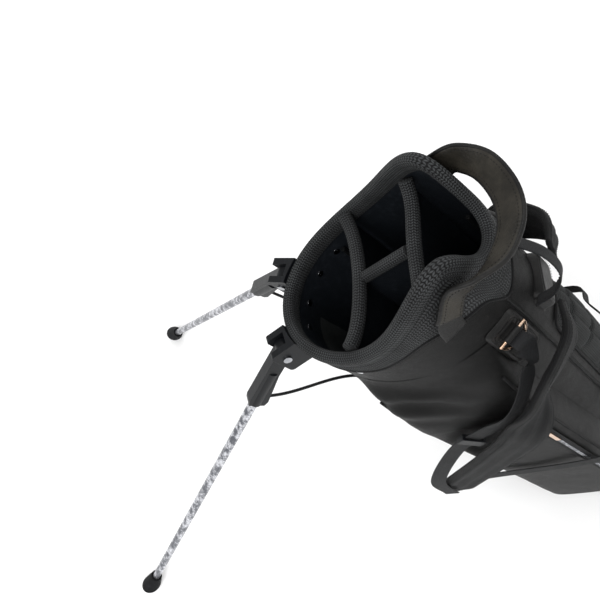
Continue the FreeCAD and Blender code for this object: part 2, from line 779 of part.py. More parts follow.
def make_ring(word, side, angle, z):
    """A leather patch on the body with a tunnel for the ring's bar, and the ring hanging in it."""
    radians = math.radians(angle)
    half_x, half_y = size("shell_high_x"), size("shell_high_y")
    surface = Vector(side * half_x * math.cos(radians), half_y * math.sin(radians), z)
    normal = Vector(side * math.cos(radians) / half_x, math.sin(radians) / half_y, 0).normalize()
    turn = math.degrees(math.atan2(normal.x, normal.y))
    frame = Placement(surface, Rotation(Z_AXIS, -turn))
    patch = Part.makeBox(46, 22, 96, Vector(-23, -16, -74))
    patch = patch.makeFillet(10, [e for e in patch.Edges if abs(e.tangentAt(e.FirstParameter).y) > 0.9])
    tab = Part.makeCylinder(5, 22, Vector(-11, 10, 0), X_AXIS)
    tab = tab.fuse(Part.makeBox(22, 10, 10, Vector(-11, 1, -5)))
    tab = tab.cut(Part.makeCylinder(size("ring_bar_r") + 0.06, 30, Vector(-15, 10, 0), X_AXIS))
    limit = Part.makeBox(46, 19, 96, Vector(-23, -16, -74))
    patch = patch.common(limit).fuse(tab)
    patch.Placement = frame
    keep_on_bag(
        f"ring_patch_{word}",
        cut(f"patch_{word}", raw(f"patch_{word}_block", patch), shell_ovals(f"patch_{word}_body", 0.2))
    )
    ring_shape = d_ring(size("ring_half"))
    ring_shape.Placement = frame.multiply(at(0, 10, 0))
    keep_on_bag(f"d_ring_{word}", raw(f"ring_{word}", ring_shape))
    return frame


def mirrored(points, side):
    return [Vector(side * x, y, z) for x, y, z in points]


def make_shoulder_strap(word, side, ring_frame):
    """A pad from the strap hub to the bag's side, and webbing from its tip back up to the D ring."""
    pad = mirrored(
        [(33, 158, 692), (74, 154, 680), (116, 104, 650), (141, 58, 592), (142, -10, 515), (139, -155, 365)],
        side
    )
    across = mirrored(
        [(0, 0.2, 1), (0.2, 0.2, 1), (0.3, 0.3, 1), (0, -0.7, 0.7), (0, -0.7, 0.7), (0, -0.7, 0.7)], side
    )
    keep_on_bag(
        f"strap_pad_{word}", raw(f"pad_{word}", ribbon(pad, across, size("pad_width"), size("pad_thick")))
    )

    fold = [(0, 4.6, -44), (0, 4.6, -18), (0, 7, -11.4), (0, 13, -11.4), (0, 15.4, -18), (0, 15.4, -34)]
    loop = [ring_frame.multVec(Vector(*p)) for p in fold]
    loop_across = [ring_frame.Rotation.multVec(X_AXIS)] * len(loop)
    run = mirrored(
        [
            (111, 97, 674), (131, 61, 634), (133, 14, 602), (135, -52, 552), (147.4, -132, 455),
            (147.4, -152, 372)
        ],
        side
    )
    run_across = mirrored(
        [
            (0.5, -0.6, 0.5), (0.3, -0.6, 0.7), (0, -0.7, 0.7), (0, -0.7, 0.7), (0, -0.75, 0.65),
            (0, -0.75, 0.65)
        ], side
    )
    if side < 0:
        loop_across = [v * -1 for v in loop_across]
    webbing = ribbon(loop + run, loop_across + run_across, 22, size("webbing_thick"))
    keep_on_bag(f"strap_webbing_{word}", raw(f"webbing_{word}", webbing))

    slide_at, slide_way = (run[2] + run[3]) * 0.5, (run[3] - run[2]).normalize()
    slide_run = [slide_at + slide_way * n for n in (-8, 8)]
    frame = ribbon(slide_run, run_across[2:4], 33, 8)
    slot_run = [slide_at + slide_way * n for n in (-20, 20)]
    slot = ribbon(slot_run, run_across[2:4], 24, size("webbing_thick") + 2)
    keep_on_bag(f"strap_slide_{word}", raw(f"slide_{word}", frame.cut(slot)))

    waist = mirrored(
        [
            (130.6, -150, 366), (129.5, -90, 372), (129.5, 86, 384), (98, 108, 386), (60, 132, 388),
            (38, 130, 388)
        ], side
    )
    lower = ribbon(waist, [Z_AXIS] * len(waist), 25, size("webbing_thick"))
    keep_on_bag(f"lower_webbing_{word}", raw(f"lower_{word}", lower))


def make_back_loop():
    """A slack loop of webbing on the upper back, for hanging the bag up."""
    route = [(-6, 147, 786), (10, 172, 770), (26, 180, 750), (36, 166, 733), (40, 142, 724)]
    across = [Vector(0.83, 0, 0.56)] * len(route)
    keep_on_bag(
        "hang_loop", raw("loop", ribbon([Vector(*p) for p in route], across, 22, size("webbing_thick")))
    )


def make_rivets():
    """Rivets through the soft body and the collar, in a row that follows the mouth's edge."""
    edge = rim_curve(size("rim_depth") + 14)[0]
    rivets = []
    for turn in (10, 33, 51, 67, 114):
        for side in SIDES.values():
            angle = math.radians(turn)
            inner = Vector(
                side * (size("collar_half_x") - size("wall")) * math.sin(angle),
                -(size("collar_half_y") - size("wall")) * math.cos(angle),
                0,
            )
            upright = Part.makeLine(Vector(0, inner.y, 700), Vector(0, inner.y, 900))
            inner.z = upright.distToShape(edge)[1][0][0].z
            out = Vector(
                inner.x / size("collar_half_x") ** 2, inner.y / size("collar_half_y") ** 2, 0
            ).normalize()
            reach = size("shell_high_x") - size("collar_half_x") + size("wall")
            shank = Part.makeCylinder(2, reach, inner, out)
            head_in = Part.makeCylinder(4.2, 1.6, inner - out * 1.6, out)
            head_out = Part.makeCylinder(4.6, 1.8, inner + out * (reach - 0.1), out)
            rivets.append(raw(f"rivet_{turn}_{side}", shank.fuse([head_in, head_out]).removeSplitter()))
    keep_on_bag("collar_rivets", group("rivet_row", *rivets))


make_mouth()
make_body_shell()
make_cross_divider("front", size("divider_front_y"), size("divider_front_bow"), size("divider_front_top"))
make_cross_divider("back", size("divider_back_y"), size("divider_back_bow"), size("divider_back_top"))
make_centre_divider()
make_base_cup()
make_rocker_foot()
make_push_rods()
make_rod_guide("lower", 130, 190)
make_rod_guide("upper", 480, 620)
for side_word, side_sign in SIDES.items():
    make_bracket(side_word, side_sign)
    make_leg(side_word, side_sign)
    make_spring_wire(side_word, side_sign)
    make_pocket(side_word, side_sign)
make_spine()
make_stay_rods()
make_back_loop()
make_rivets()
make_handle()
for side_word, side_sign in SIDES.items():
    frame = make_ring(side_word, side_sign, 49, 735)
    make_shoulder_strap(side_word, side_sign, frame)

doc.recompute()
failed = [o.Label for o in doc.Objects if "Invalid" in o.State or "Error" in o.State]
if failed:
    raise SystemExit(f"objects that failed: {failed}")
os.makedirs("parts", exist_ok=True)
for label, obj in parts.items():
    if obj.Shape.isNull() or not obj.Shape.isValid() or not obj.Shape.Solids:
        raise SystemExit(f"{label} has no valid solid")
    obj.Shape.exportStep(f"parts/{label}.step")
    print(f"{label}: {len(obj.Shape.Solids)} solids, {obj.Shape.Volume / 1000:.1f} cm3")
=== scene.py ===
import json
import math

import bpy
import numpy as np
from mathutils import Matrix, Vector

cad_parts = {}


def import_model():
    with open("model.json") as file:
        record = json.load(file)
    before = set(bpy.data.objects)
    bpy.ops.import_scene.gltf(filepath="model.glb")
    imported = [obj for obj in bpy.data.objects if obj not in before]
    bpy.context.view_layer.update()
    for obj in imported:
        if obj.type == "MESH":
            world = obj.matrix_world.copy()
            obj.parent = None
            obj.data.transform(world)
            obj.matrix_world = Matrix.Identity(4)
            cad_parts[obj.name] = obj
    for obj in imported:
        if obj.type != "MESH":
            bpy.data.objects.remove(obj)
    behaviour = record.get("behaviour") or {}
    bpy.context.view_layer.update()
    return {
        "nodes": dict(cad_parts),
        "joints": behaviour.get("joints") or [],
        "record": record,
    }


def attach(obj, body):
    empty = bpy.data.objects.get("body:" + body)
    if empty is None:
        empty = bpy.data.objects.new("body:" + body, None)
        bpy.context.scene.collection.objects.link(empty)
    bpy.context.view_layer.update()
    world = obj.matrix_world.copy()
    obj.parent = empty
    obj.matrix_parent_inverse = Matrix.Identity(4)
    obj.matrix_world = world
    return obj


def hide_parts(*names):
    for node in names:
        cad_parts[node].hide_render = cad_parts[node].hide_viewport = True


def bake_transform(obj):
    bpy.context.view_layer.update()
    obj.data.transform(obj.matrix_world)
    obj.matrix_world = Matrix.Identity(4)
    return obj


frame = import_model()

# ---------------------------------------------------------------- the bag's own frame, from the record

JOINTS = {j["name"]: j for j in frame["joints"]}
UP = Vector(JOINTS["zip_left_slide"]["axis"]).normalized()
TURN = Matrix((Vector((1, 0, 0)), UP.cross(Vector((1, 0, 0))), UP)).transposed()
ORIGIN = Vector(JOINTS["rocker_foot_hinge"]["pos_m"]) - TURN @ Vector((0, 0.012, 0.006))
BAG = Matrix.Translation(ORIGIN) @ TURN.to_4x4() @ Matrix.Scale(0.001, 4)
BAG_ROWS = np.array(BAG)


def world(points):
    """Bag-frame millimetres to row-frame metres."""
    return np.asarray(points, float) @ BAG_ROWS[:3, :3].T + BAG_ROWS[:3, 3]


def spline(xs, ys):
    """A natural cubic spline through points, as a function."""
    xs, ys = np.asarray(xs, float), np.asarray(ys, float)
    n, h = len(xs), np.diff(xs)
    system, right = np.eye(n), np.zeros(n)
    for i in range(1, n - 1):
        system[i, i - 1 : i + 2] = h[i - 1], 2 * (h[i - 1] + h[i]), h[i]
        right[i] = 6 * ((ys[i + 1] - ys[i]) / h[i] - (ys[i] - ys[i - 1]) / h[i - 1])
    bend = np.linalg.solve(system, right)

    def value(x):
        i = np.clip(np.searchsorted(xs, x) - 1, 0, n - 2)
        a, b = xs[i + 1] - x, x - xs[i]
        curve = (bend[i] * a**3 + bend[i + 1] * b**3) / (6 * h[i])
        near, far = ys[i] / h[i] - bend[i] * h[i] / 6, ys[i + 1] / h[i] - bend[i + 1] * h[i] / 6
        return curve + near * a + far * b

    return value


def rim_line():
    """The mouth's edge in side view: height by distance from front to back."""
    points = np.array([(-183, 807), (-143, 815), (25, 856), (109, 900), (135, 834), (183, 818)], float)
    along = np.concatenate([[0], np.cumsum(np.linalg.norm(np.diff(points, axis=0), axis=1))])
    steps = np.linspace(0, along[-1], 600)
    y, z = spline(along, points[:, 0])(steps), spline(along, points[:, 1])(steps)
    order = np.argsort(y)
    return y[order], z[order]


RIM_Y, RIM_Z = rim_line()


def rim_top(y):
    """Height of the mouth's edge at a distance from front to back."""
    return np.interp(y, RIM_Y, RIM_Z)


# Half widths of the body at its hem and at its mouth, and the heights between which it flares.
HEM_X, HEM_Y = 99.5, 111.5
MOUTH_X, MOUTH_Y = 104, 140
HEM, FLARE = 60, 680
LINING_FLOOR, LINING_FLARE = 26, 700
LEAN_COS = 0.866  # of the bag's lean of 30 degrees


def half_sizes(z):
    """The body's half widths, side to side and front to back."""
    share = np.clip((np.asarray(z, float) - HEM) / FLARE, 0, 1)
    return HEM_X + (MOUTH_X - HEM_X) * share, HEM_Y + (MOUTH_Y - HEM_Y) * share


def lining_share(z):
    return np.clip((z - LINING_FLOOR) / LINING_FLARE, 0, 1)


def lining_sizes(z, inset=0.0):
    """The lining's half widths, from the base's floor up to the collar."""
    share = lining_share(z)
    return 91 - inset + 6.7 * share, 103 - inset + 30.7 * share


def wall(angle, z, out=0.0, sizes=None):
    """Points on the body's outside. The angle starts at the front and turns towards +X."""
    angle, z = np.broadcast_arrays(np.asarray(angle, float), np.asarray(z, float))
    half_x, half_y = sizes if sizes else half_sizes(z)
    point = np.stack([half_x * np.sin(angle), -half_y * np.cos(angle), z], -1)
    normal = np.stack([np.sin(angle) / half_x, -np.cos(angle) / half_y, np.zeros_like(z)], -1)
    normal /= np.linalg.norm(normal, axis=-1, keepdims=True)
    return point + normal * np.asarray(out)[..., None]


def waves(points, scale, seed, octaves=3):
    """Smooth repeatable noise in -1..1 over an array of points."""
    rng = np.random.default_rng(seed)
    total, size = 0.0, 1.0
    for _ in range(octaves):
        for _ in range(4):
            way = rng.normal(size=3)
            way /= np.linalg.norm(way)
            turn = points @ way * (2 * math.pi / scale) * rng.uniform(0.7, 1.3)
            total = total + size * np.sin(turn + rng.uniform(0, 6.3))
        size, scale = size * 0.5, scale * 0.5
    return total / 5.5


def bump(x, centre, width):
    """A bell curve of height 1."""
    return np.exp(-(((x - centre) / width) ** 2))


def step(x, low, high):
    """A smooth rise from 0 at low to 1 at high."""
    t = np.clip((x - low) / (high - low), 0, 1)
    return t * t * (3 - 2 * t)


# ---------------------------------------------------------------- meshes


def grid_normals(grid, wrap_i, wrap_j):
    """Unit normals of a grid of points, which may close on itself either way."""
    def slope(axis, wrap):
        if wrap:
            return np.roll(grid, -1, axis) - np.roll(grid, 1, axis)
        return np.gradient(grid, axis=axis)

    n = np.cross(slope(0, wrap_i), slope(1, wrap_j))
    return n / (np.linalg.norm(n, axis=2, keepdims=True) + 1e-9)


def lengths(grid, axis, wrap):
    """Mean running length along an axis of the grid, one entry longer where it wraps."""
    grid = np.concatenate([grid, grid.take([0], axis)], axis) if wrap else grid
    gaps = np.linalg.norm(np.diff(grid, axis=axis), axis=2).mean(axis=1 - axis)
    return np.concatenate([[0], np.cumsum(gaps)])


def new_object(name, verts, faces, look, uvs=None, body="bag"):
    """A smooth mesh from bag-frame points, riding with a body."""
    mesh = bpy.data.meshes.new(name)
    mesh.from_pydata([tuple(v) for v in world(verts)], [], faces)
    if uvs is not None:
        layer = mesh.uv_layers.new(name="UVMap")
        layer.data.foreach_set("uv", np.asarray(uvs, np.float32).ravel())
    mesh.polygons.foreach_set("use_smooth", [True] * len(faces))
    mesh.materials.append(look)
    mesh.update()
    obj = bpy.data.objects.new(name, mesh)
    bpy.context.scene.collection.objects.link(obj)
    if body:
        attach(obj, body)
    return obj


def surface(name, grid, look, wrap_i=False, wrap_j=False, caps=False, body="bag", relief=None):
    """A grid of points as a mesh, mapped in centimetres, with relief(u, v) in mm along the normal."""
    grid = np.asarray(grid, float)
    n, m = grid.shape[:2]
    u, v = lengths(grid, 0, wrap_i) / 10, lengths(grid, 1, wrap_j) / 10
    if relief is not None:
        uu, vv = np.meshgrid(u[:n], v[:m], indexing="ij")
        grid = grid + grid_normals(grid, wrap_i, wrap_j) * relief(uu, vv)[..., None]
    faces, uvs = [], []
    for i in range(n if wrap_i else n - 1):
        for j in range(m if wrap_j else m - 1):
            a, b = (i + 1) % n, (j + 1) % m
            faces.append((i * m + j, a * m + j, a * m + b, i * m + b))
            uvs += [(u[i], v[j]), (u[i + 1], v[j]), (u[i + 1], v[j + 1]), (u[i], v[j + 1])]
    if caps:
        faces += [tuple(range(m)), tuple((n - 1) * m + j for j in reversed(range(m)))]
        uvs += [(u[0], x) for x in v[:m]] + [(u[n - 1], x) for x in reversed(v[:m])]
    return new_object(name, grid.reshape(-1, 3), faces, look, uvs, body=body)


def smooth_path(points, step_mm=4.0):
    """A Catmull-Rom curve through rows of numbers, whose first three are the position."""
    p = np.asarray(points, float)
    p = np.vstack([2 * p[0] - p[1], p, 2 * p[-1] - p[-2]])
    out = []
    for a, b, c, d in zip(p, p[1:], p[2:], p[3:]):
        count = max(2, int(np.linalg.norm((c - b)[:3]) / step_mm))
        for t in np.arange(count) / count:
            square, cube = 2 * a - 5 * b + 4 * c - d, 3 * b - a - 3 * c + d
            out.append(0.5 * (2 * b + (c - a) * t + square * t * t + cube * t**3))
    return np.array(out + [p[-2]])


def frames(path, across):
    """Unit directions along a path, across it as asked, and out of the two."""
    along = np.gradient(path, axis=0)
    along /= np.linalg.norm(along, axis=1, keepdims=True)
    across = across - along * (across * along).sum(1, keepdims=True)
    across /= np.linalg.norm(across, axis=1, keepdims=True)
    return along, across, np.cross(along, across)


def section(width, thick, count=28, power=2.0):
    """A rounded outline: power 2 is an ellipse, more is squarer."""
    t = np.linspace(0, 2 * math.pi, count, endpoint=False)
    c, s = np.cos(t), np.sin(t)
    across = width / 2 * np.sign(c) * abs(c) ** (2 / power)
    return np.stack([across, thick / 2 * np.sign(s) * abs(s) ** (2 / power)], 1)


def sweep(path, across, outline, scale=None):
    """Grid of an outline carried along a path. scale(t) narrows it, t running 0 to 1."""
    _, side, out = frames(path, across)
    size = np.ones(len(path)) if scale is None else scale(np.linspace(0, 1, len(path)))
    return (
        path[:, None]
        + side[:, None] * outline[None, :, :1] * size[:, None, None]
        + out[:, None] * outline[None, :, 1:] * size[:, None, None]
    )


def strap(name, points, turns, width, thick, look, replaces=(), step_mm=3.0):
    """A strap through points, each with the direction of its width."""
    rows = smooth_path(np.hstack([np.asarray(points, float), np.asarray(turns, float)]), step_mm)
    grid = sweep(rows[:, :3], rows[:, 3:], section(width, thick, 36, 5.0))
    obj = surface(name, grid, look, wrap_j=True, caps=True)
    if replaces:
        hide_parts(*replaces)
    return obj, rows


def cord_mesh(name, path, radius, look, body="bag", sides=10, closed=False):
    """A round cord through points, open with caps or closed into a ring."""
    path = np.asarray(path, float)
    guide = np.tile([0.31, 0.17, 0.93], (len(path), 1))
    if closed:
        guide = path - path.mean(0)
    grid = sweep(path, guide, section(2 * radius, 2 * radius, sides))
    return surface(name, grid, look, wrap_i=closed, wrap_j=True, caps=not closed, body=body)


def stitches(name, path, look, normal, pitch=4.2, long=2.8, thick=0.5, lift=0.25):
    """Thread stitches along a path, each a small spindle."""
    path = np.asarray(path, float)
    gaps = np.concatenate([[0], np.cumsum(np.linalg.norm(np.diff(path, axis=0), axis=1))])
    marks = np.arange(pitch / 2, gaps[-1], pitch)
    centre = np.stack([np.interp(marks, gaps, path[:, k]) for k in range(3)], 1)
    ahead = np.stack([np.interp(marks + 0.5, gaps, path[:, k]) for k in range(3)], 1)
    way = ahead - centre
    way /= np.linalg.norm(way, axis=1, keepdims=True) + 1e-9
    up = np.asarray(normal, float)
    if up.ndim == 1:
        up = np.tile(up, (len(marks), 1))
    else:
        up = np.stack([np.interp(marks, gaps, up[:, k]) for k in range(3)], 1)
    up = up / (np.linalg.norm(up, axis=1, keepdims=True) + 1e-9)
    side = np.cross(way, up)
    centre = centre + up * lift
    corners = [way * long / 2, side * thick, up * thick, -side * thick, -up * thick, -way * long / 2]
    verts = np.stack([centre + c for c in corners], 1).reshape(-1, 3)
    faces = []
    for k in range(len(marks)):
        o = 6 * k
        for a, b in ((1, 2), (2, 3), (3, 4), (4, 1)):
            faces += [(o, o + a, o + b), (o + 5, o + b, o + a)]
    return new_object(name, verts, faces, look)


# ---------------------------------------------------------------- looks


def linear(value):
    """A screen value from 0 to 1 as linear light."""
    return value / 12.92 if value <= 0.04045 else ((value + 0.055) / 1.055) ** 2.4


def tone(*rgb):
    """A colour from 0-255 screen values."""
    rgb = rgb * 3 if len(rgb) == 1 else rgb
    return (*(linear(c / 255) for c in rgb), 1.0)


class Look:
    """A material's node tree, written as arithmetic."""

    def __init__(self, name, roughness=0.6, metallic=0.0, specular=0.5, sheen=0.0):
        self.material = bpy.data.materials.new(name)
        self.material.use_nodes = True
        self.tree = self.material.node_tree
        self.shader = self.tree.nodes["Principled BSDF"]
        for socket, value in (
            ("Roughness", roughness),
            ("Metallic", metallic),
            ("Specular IOR Level", specular),
            ("Sheen Weight", sheen),
        ):
            self.shader.inputs[socket].default_value = value
        coords = self.node("ShaderNodeTexCoord")
        self.uv, self.position = coords.outputs["UV"], coords.outputs["Object"]
        self.normal = None

    def node(self, kind, **settings):
        node = self.tree.nodes.new(kind)
        for key, value in settings.items():
            setattr(node, key, value)
        return node

    def put(self, socket, value):
        if isinstance(value, bpy.types.NodeSocket):
            self.tree.links.new(value, socket)
        else:
            socket.default_value = value

    def maths(self, operation, *values):
        node = self.node("ShaderNodeMath", operation=operation)
        for socket, value in zip(node.inputs, values):
            self.put(socket, value)
        return node.outputs[0]

    def split_uv(self):
        node = self.node("ShaderNodeSeparateXYZ")
        self.put(node.inputs[0], self.uv)
        return node.outputs[0], node.outputs[1]

    def noise(self, scale, detail=3.0, rough=0.5, stretch=None):
        vector = self.position
        if stretch:
            mapping = self.node("ShaderNodeMapping")
            self.put(mapping.inputs["Vector"], vector)
            self.put(mapping.inputs["Scale"], stretch)
            vector = mapping.outputs[0]
        node = self.node("ShaderNodeTexNoise")
        self.put(node.inputs["Vector"], vector)
        for socket, value in (("Scale", scale), ("Detail", detail), ("Roughness", rough)):
            self.put(node.inputs[socket], value)
        return node.outputs[0]

    def cells(self, scale, feature="F1"):
        node = self.node("ShaderNodeTexVoronoi", feature=feature)
        self.put(node.inputs["Vector"], self.position)
        self.put(node.inputs["Scale"], scale)
        return node.outputs[0]

    def ramp(self, value, low, high, start=0.0, end=1.0):
        node = self.node("ShaderNodeMapRange", interpolation_type="SMOOTHSTEP")
        for socket, entry in zip(node.inputs, (value, start, end, low, high)):
            self.put(socket, entry)
        return node.outputs[0]

    def blend(self, factor, first, second):
        node = self.node("ShaderNodeMix", data_type="RGBA")
        self.put(node.inputs[0], factor)
        self.put(node.inputs[6], first)
        self.put(node.inputs[7], second)
        return node.outputs[2]

    def colour(self, value):
        self.put(self.shader.inputs["Base Color"], value)
        return self

    def rough(self, value, low, high):
        self.put(self.shader.inputs["Roughness"], self.ramp(value, low, high))
        return self

    def raise_by(self, height, distance):
        """Adds a bump of that many metres."""
        node = self.node("ShaderNodeBump")
        self.put(node.inputs["Strength"], 1.0)
        self.put(node.inputs["Distance"], distance)
        self.put(node.inputs["Height"], height)
        if self.normal:
            self.put(node.inputs["Normal"], self.normal)
        self.normal = node.outputs[0]
        self.put(self.shader.inputs["Normal"], self.normal)
        return self

    def rounded_edges(self, radius):
        node = self.node("ShaderNodeBevel", samples=4)
        self.put(node.inputs["Radius"], radius)
        self.normal = node.outputs[0]
        self.put(self.shader.inputs["Normal"], self.normal)
        return self

    def wave(self, value, pitch_cm, power=1.0):
        """|sin| ridges at a pitch along a UV coordinate."""
        turn = self.maths("MULTIPLY", value, math.pi / pitch_cm)
        ridge = self.maths("ABSOLUTE", self.maths("SINE", turn))
        return self.maths("POWER", ridge, power) if power != 1.0 else ridge


def knit_look(name, dark, light, pitch_u=0.36, pitch_v=0.3):
    """Padded knitted mesh: slanted loops in rows that lean opposite ways, with a painted highlight on the
    raised loops.
    """
    look = Look(name, roughness=0.78, specular=0.14, sheen=0.02)
    u, v = look.split_uv()
    lean = look.maths("PINGPONG", v, pitch_v)
    slant = look.maths("MULTIPLY", lean, math.pi / pitch_v * 0.55)
    turn = look.maths("ADD", look.maths("MULTIPLY", u, math.pi / pitch_u), slant)
    loops = look.maths("POWER", look.maths("ABSOLUTE", look.maths("SINE", turn)), 0.7)
    rows = look.wave(v, pitch_v, 0.35)
    height = look.maths("MULTIPLY", loops, rows)
    fibre = look.noise(900, 2.0)
    mottle = look.noise(38, 2.0)
    # Painted highlight: the raised loops are painted lighter, by an amount that varies at random.
    raised = look.ramp(height, 0.0, 1.0, 0.35, 0.98)
    painted_highlight = look.maths("MULTIPLY", raised, look.ramp(mottle, 0.7, 1.0, 0.35, 0.65))
    look.colour(look.blend(painted_highlight, tone(*dark), tone(*light)))
    look.rough(fibre, 0.6, 0.85)
    look.raise_by(height, 0.0007).raise_by(fibre, 0.00012)
    return look.material


def coated_look(name, base, worn, weave=0.06, rough=(0.42, 0.6), fold=0.0004):
    """Smooth coated fabric with a fine weave, faint creases and scuffs."""
    look = Look(name, roughness=0.55, specular=0.1)
    u, v = look.split_uv()
    threads = look.maths("MULTIPLY", look.wave(u, weave), look.wave(v, weave))
    creases = look.noise(22, 5.0, 0.62, stretch=(1.0, 1.0, 2.4))
    scuffs = look.noise(130, 5.0, 0.7)
    patch = look.noise(9, 3.0)
    scuffed = look.ramp(scuffs, 0.0, 1.0, 0.45, 0.8)
    mix = look.maths("MULTIPLY", scuffed, look.ramp(patch, 0.25, 1.0, 0.35, 0.7))
    look.colour(look.blend(mix, tone(*base), tone(*worn)))
    look.rough(scuffs, *rough)
    look.raise_by(creases, fold).raise_by(threads, 0.00008)
    return look.material


def webbing_look(name, base, light, rib=0.17):
    """Woven webbing: cross ribs and lengthwise rows."""
    look = Look(name, roughness=0.7, specular=0.15, sheen=0.02)
    row = 0.16
    u, v = look.split_uv()
    shift = look.maths("MULTIPLY", look.maths("ROUND", look.maths("DIVIDE", v, row)), math.pi / 2)
    turn = look.maths("ADD", look.maths("MULTIPLY", u, math.pi / rib), shift)
    ribs = look.maths("ABSOLUTE", look.maths("SINE", turn))
    rows = look.wave(v, row, 0.5)
    height = look.maths("MULTIPLY", ribs, rows)
    fuzz = look.noise(700, 3.0)
    # Painted highlight: the raised ribs are painted lighter, by an amount that varies at random.
    raised = look.ramp(height, 0.0, 1.0, 0.1, 0.95)
    mix = look.maths("MULTIPLY", raised, look.ramp(look.noise(45, 2.0), 0.6, 1.0, 0.3, 0.7))
    look.colour(look.blend(mix, tone(*base), tone(*light)))
    look.rough(fuzz, 0.55, 0.8)
    look.raise_by(height, 0.0005).raise_by(fuzz, 0.00008)
    return look.material


def leather_look(name, base, light, scale=420):
    """Grained leather with pores and wear."""
    look = Look(name, roughness=0.55, specular=0.2)
    grain = look.cells(scale)
    pores = look.cells(scale * 2.3, "DISTANCE_TO_EDGE")
    wear = look.noise(28, 4.0, 0.6)
    look.colour(look.blend(look.ramp(wear, 0.0, 1.0, 0.35, 0.72), tone(*base), tone(*light)))
    look.rough(wear, 0.38, 0.6)
    look.raise_by(look.noise(60, 3.0), 0.0005).raise_by(grain, 0.00022).raise_by(pores, 0.0001)
    return look.material


def plastic_look(name, base, worn, grain=900, rough=(0.36, 0.55), edge=0.0008):
    """Moulded plastic with a fine texture, scratches and softened edges."""
    look = Look(name, roughness=0.5, specular=0.2)
    look.rounded_edges(edge)
    texture = look.noise(grain, 2.0)
    scratches = look.noise(60, 6.0, 0.75, stretch=(1.0, 6.0, 1.0))
    look.colour(look.blend(look.ramp(scratches, 0.0, 0.8, 0.5, 0.82), tone(*base), tone(*worn)))
    look.rough(scratches, *rough)
    look.raise_by(texture, 0.00006)
    return look.material


def metal_look(name, base, worn, rough=(0.16, 0.34), edge=0.0005, brushed=(1.0, 1.0, 30.0)):
    """Brushed or plated metal with smudges."""
    look = Look(name, roughness=0.25, metallic=1.0)
    look.rounded_edges(edge)
    lines = look.noise(120, 3.0, 0.6, stretch=brushed)
    smudge = look.noise(35, 4.0, 0.6)
    look.colour(look.blend(look.ramp(smudge, 0.0, 0.8, 0.4, 0.75), tone(*base), tone(*worn)))
    look.rough(smudge, *rough)
    look.raise_by(lines, 0.00002)
    return look.material


def tube_look():
    """Anodised aluminium whose wrinkled clear film is shown only as bright and dull patches in short streaks:
    painted glints and painted dull reflections in the colour, with roughness and bumps to match.
    """
    look = Look("tube_alloy", metallic=1.0)
    blotch = look.noise(95, 5.0, 0.72, stretch=(1.0, 1.0, 0.6))
    fine = look.noise(420, 4.0, 0.65)
    # Painted reflections: the colour runs from dull grey to near white in the film's glint patches.
    painted_glint_patches = look.ramp(blotch, 0.0, 1.0, 0.42, 0.6)
    mix = look.maths("MULTIPLY", painted_glint_patches, look.ramp(fine, 0.35, 1.0, 0.34, 0.6))
    look.colour(look.blend(mix, tone(92, 94, 100), tone(226, 227, 232)))
    look.rough(blotch, 0.22, 0.52)
    look.raise_by(blotch, 0.00025).raise_by(fine, 0.00008)
    return look.material


def rubber_look():
    """Dusty rubber."""
    look = Look("tread_rubber", roughness=0.78, specular=0.15)
    look.rounded_edges(0.001)
    dust = look.noise(55, 5.0, 0.65)
    look.colour(look.blend(look.ramp(dust, 0.0, 1.0, 0.5, 0.85), tone(14, 15, 17), tone(44, 45, 48)))
    look.rough(dust, 0.62, 0.86)
    look.raise_by(look.noise(1200, 2.0), 0.00008)
    return look.material


def floor_look():
    """Matt white paper."""
    look = Look("studio_floor", roughness=0.9, specular=0.1)
    look.colour(look.blend(look.noise(3.0, 2.0), tone(244, 244, 244), tone(248, 248, 248)))
    look.raise_by(look.noise(40, 2.0), 0.0002)
    return look.material


MESH = knit_look("spacer_mesh", (11, 11, 12), (60, 62, 63))
MESH_FINE = knit_look("fine_mesh", (8, 8, 9), (54, 56, 56), 0.3, 0.26)
SHELL = coated_look("softshell", (14, 14, 14), (28, 27, 27), rough=(0.4, 0.58))
LINING = coated_look("lining", (18, 21, 25), (34, 38, 43), 0.09, (0.5, 0.7), 0.0008)
LINING_GREY = coated_look("lining_grey", (48, 50, 50), (66, 68, 68), 0.12, (0.55, 0.72), 0.0005)
WEBBING = webbing_look("webbing", (12, 12, 13), (44, 45, 47))
WEBBING_DARK = webbing_look("webbing_dark", (9, 9, 10), (34, 35, 37), 0.14)
PAD = webbing_look("strap_fabric", (4, 4, 5), (24, 25, 26), 0.24)
LEATHER = leather_look("handle_leather", (28, 26, 22), (48, 45, 39))
LEATHER_DARK = leather_look("patch_leather", (13, 13, 13), (27, 26, 25), 520)
BINDING = webbing_look("binding", (6, 6, 7), (30, 30, 31), 0.1)
PLASTIC = plastic_look("moulding", (9, 11, 14), (38, 42, 48))
PLASTIC_BLACK = plastic_look("moulding_black", (11, 12, 13), (32, 33, 35))
ALLOY = tube_look()
RUBBER = rubber_look()
STEEL = metal_look("pin_steel", (150, 152, 156), (196, 198, 202))
CHROME = metal_look("rivet_chrome", (190, 192, 196), (232, 233, 236), (0.08, 0.22))
GOLD = metal_look("ring_gold", (206, 172, 146), (232, 206, 184), (0.12, 0.28))
WIRE = plastic_look("rod_steel", (18, 18, 19), (40, 40, 42), 500, (0.3, 0.5))
THREAD = webbing_look("thread", (30, 30, 30), (62, 62, 60), 0.05)
THREAD_DARK = webbing_look("thread_dark", (12, 12, 13), (36, 36, 37), 0.05)

